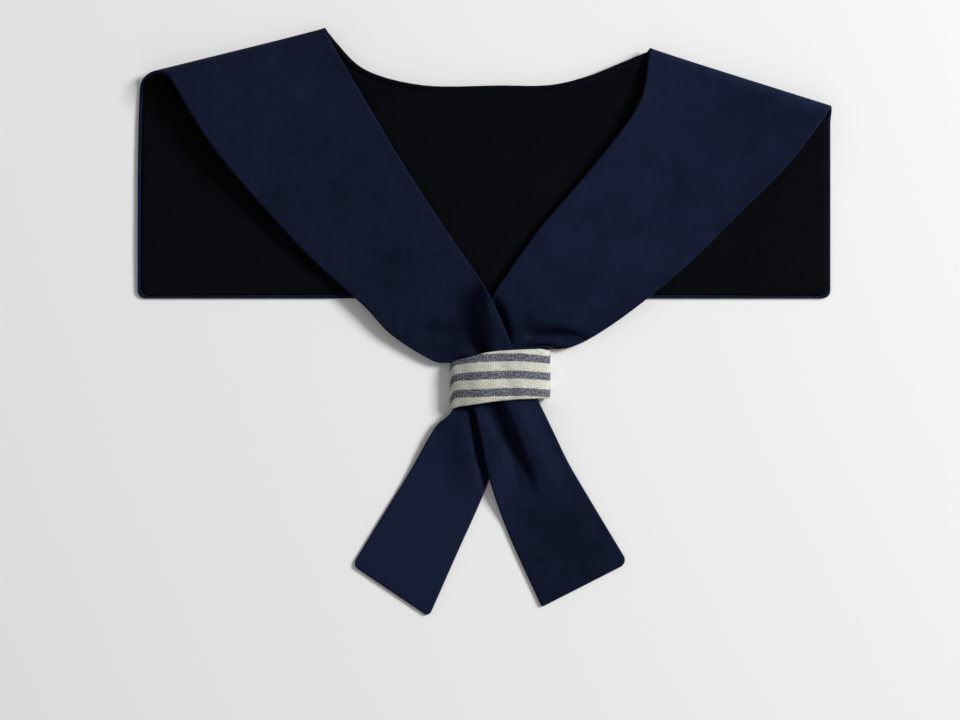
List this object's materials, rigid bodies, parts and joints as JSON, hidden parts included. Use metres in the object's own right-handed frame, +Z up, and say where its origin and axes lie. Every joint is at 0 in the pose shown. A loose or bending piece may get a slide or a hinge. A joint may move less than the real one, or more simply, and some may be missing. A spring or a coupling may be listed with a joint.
{
  "type": "child's sailor collar",
  "caption": "Navy sailor collar laid flat: a wide back flap folded under, lapels crossing into tails, and a striped keeper loop round them",
  "frame": {"origin": "middle of the collar's outline, on the surface that it lies on", "axes": "+Z up from the surface; +Y from the tails towards the back neck; +X across the shoulders, to the right as the front is looked at"},
  "size_m": [0.2644, 0.2242, 0.0123],
  "materials": {
    "navy_face": "matte plain-weave cotton, navy",
    "navy_facing": "matte plain-weave cotton, very dark navy",
    "navy_binding": "matte bias-cut cotton, navy",
    "striped_cloth": "matte slub cotton, cream with blue-grey stripes"
  },
  "bodies": {
    "root": {"upper_collar": "navy_face", "under_collar": "navy_facing", "neck_binding": "navy_binding", "keeper_loop": "striped_cloth"}
  },
  "joints": []
}
